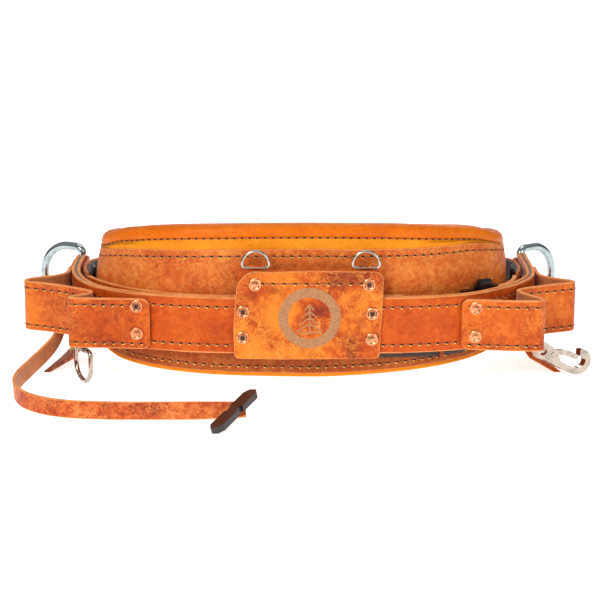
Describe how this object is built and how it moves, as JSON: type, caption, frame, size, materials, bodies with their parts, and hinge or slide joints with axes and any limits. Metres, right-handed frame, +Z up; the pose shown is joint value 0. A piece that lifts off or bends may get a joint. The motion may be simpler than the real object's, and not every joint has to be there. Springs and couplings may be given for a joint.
{
  "type": "climbing body belt",
  "caption": "Leather climbing body belt with padded back, side D-rings, folded tool loops, riveted accessory plate, snap hook and waist buckle.",
  "frame": {"origin": "on the floor under the centre of the belt's bounding box, thong and toggle left out", "axes": "+Z up as the belt stands, +X to the right seen from the wearer's back, +Y towards the front waist buckle"},
  "size_m": [0.5281, 0.3546, 0.15],
  "materials": {
    "leather_brown": "oiled pull-up leather",
    "leather_golden": "smooth lining leather",
    "foam": "closed-cell foam",
    "webbing_dark": "woven nylon",
    "copper": "hammered copper",
    "brass_rivet": "polished",
    "steel_polished": "polished forged steel",
    "nickel": "nickel plated",
    "plastic_black": "gloss",
    "plastic_matte": "satin"
  },
  "bodies": {
    "belt": {"accessory_plate": "leather_brown", "buckle_chape": "leather_brown", "d_ring_saddle_left": "leather_brown", "d_ring_saddle_right": "leather_brown", "flap_rivets": "brass_rivet", "loop_burrs": "copper", "loop_rivets": "copper", "pad_face_leather": "leather_brown", "pad_foam_core": "foam", "pad_lining_leather": "leather_golden", "pad_lower_edge": "leather_golden", "pad_strap_leather": "leather_brown", "pad_strap_right": "leather_brown", "pad_top_roll": "leather_golden", "pad_webbing": "webbing_dark", "plate_backing": "leather_brown", "plate_burrs": "copper", "plate_rivets": "copper", "quick_buckle_female": "plastic_black", "quick_buckle_male": "plastic_black", "ring_clip": "nickel", "saddle_rivets": "copper", "side_flap_left": "leather_brown", "side_flap_right": "leather_brown", "slide_adjuster_left": "plastic_black", "slide_adjuster_right": "plastic_black", "small_dee_clip_left": "nickel", "small_dee_clip_right": "nickel", "snap_dee_clip": "nickel", "strap_core_webbing": "webbing_dark", "strap_inner_leather": "leather_brown", "strap_outer_leather": "leather_brown", "tape_thong": "leather_brown", "thong_toggle": "plastic_matte", "tool_loop_left": "leather_brown", "tool_loop_right": "leather_brown", "waist_billet_left": "leather_brown", "waist_buckle_frame": "nickel", "waist_keeper_fixed": "leather_brown", "waist_rivets": "copper", "waist_strap_right": "leather_brown", "waist_webbing_left": "webbing_dark", "waist_webbing_right": "webbing_dark", "webbing_keeper": "leather_brown"},
    "d_ring_left": {"d_ring_left": "steel_polished"},
    "d_ring_right": {"d_ring_right": "steel_polished"},
    "small_dee_left": {"small_dee_left": "nickel"},
    "small_dee_right": {"small_dee_right": "nickel"},
    "hanging_ring": {"hanging_ring": "nickel"},
    "snap_dee": {"snap_dee": "nickel"},
    "snap_hook": {"snap_hook_body": "nickel", "snap_gate_pin": "nickel"},
    "snap_gate": {"snap_gate": "nickel"},
    "buckle_prong": {"waist_buckle_prong": "nickel"},
    "buckle_roller": {"waist_buckle_roller": "nickel"},
    "sliding_keeper": {"waist_keeper_sliding": "leather_brown"},
    "latch_upper": {"quick_buckle_latch_upper": "plastic_black"},
    "latch_lower": {"quick_buckle_latch_lower": "plastic_black"}
  },
  "joints": [
    {"name": "d_ring_left_swing", "type": "hinge", "parent": "belt", "child": "d_ring_left", "pos_m": [-0.21984, 0.07407, 0.062], "axis": [0, 0, 1], "range_deg": [-116, 44]},
    {"name": "d_ring_right_swing", "type": "hinge", "parent": "belt", "child": "d_ring_right", "pos_m": [0.21053, 0.08304, 0.0584], "axis": [0, 0, 1], "range_deg": [-48, 111]},
    {"name": "small_dee_left_flip", "type": "hinge", "parent": "belt", "child": "small_dee_left", "pos_m": [-0.04582, -0.10909, 0.1142], "axis": [1, 0, 0], "range_deg": [-35, 90]},
    {"name": "small_dee_right_flip", "type": "hinge", "parent": "belt", "child": "small_dee_right", "pos_m": [0.05228, -0.10909, 0.1142], "axis": [1, 0, 0], "range_deg": [-35, 90]},
    {"name": "hanging_ring_swing", "type": "hinge", "parent": "belt", "child": "hanging_ring", "pos_m": [-0.20382, -0.08327, 0.0326], "axis": [0.5, -0.866, 0], "range_deg": [-75, 75]},
    {"name": "snap_dee_swing", "type": "hinge", "parent": "belt", "child": "snap_dee", "pos_m": [0.19951, -0.08322, 0.03505], "axis": [-0.5233, 0.8522, 0], "range_deg": [-20, 75]},
    {"name": "snap_hook_swing", "type": "hinge", "parent": "snap_dee", "child": "snap_hook", "pos_m": [0.21312, -0.07487, 0.02924], "axis": [-0.5233, 0.8522, 0], "range_deg": [-70, 70]},
    {"name": "snap_gate_open", "type": "hinge", "parent": "snap_hook", "child": "snap_gate", "pos_m": [0.22388, -0.06826, 0.02305], "axis": [0.5233, -0.8522, 0], "range_deg": [-13, 0], "stiffness_Nm_per_rad": 0.02, "springref_deg": 20.05},
    {"name": "buckle_prong_swing", "type": "hinge", "parent": "belt", "child": "buckle_prong", "pos_m": [0.01608, 0.05921, 0.0645], "axis": [0, 0, 1], "range_deg": [-24, 0]},
    {"name": "buckle_roller_spin", "type": "hinge", "parent": "belt", "child": "buckle_roller", "pos_m": [-0.02592, 0.06361, 0.0645], "axis": [0, 0, 1], "continuous": true},
    {"name": "sliding_keeper_slide", "type": "slide", "parent": "belt", "child": "sliding_keeper", "axis": [1, 0, 0], "range_m": [-0.015, 0.025]},
    {"name": "latch_upper_press", "type": "slide", "parent": "belt", "child": "latch_upper", "axis": [0, 0, -1], "range_m": [0, 0.0028], "stiffness_N_per_m": 150, "springref_m": -0.004},
    {"name": "latch_lower_press", "type": "slide", "parent": "belt", "child": "latch_lower", "axis": [0, 0, 1], "range_m": [0, 0.0028], "stiffness_N_per_m": 150, "springref_m": -0.004}
  ]
}
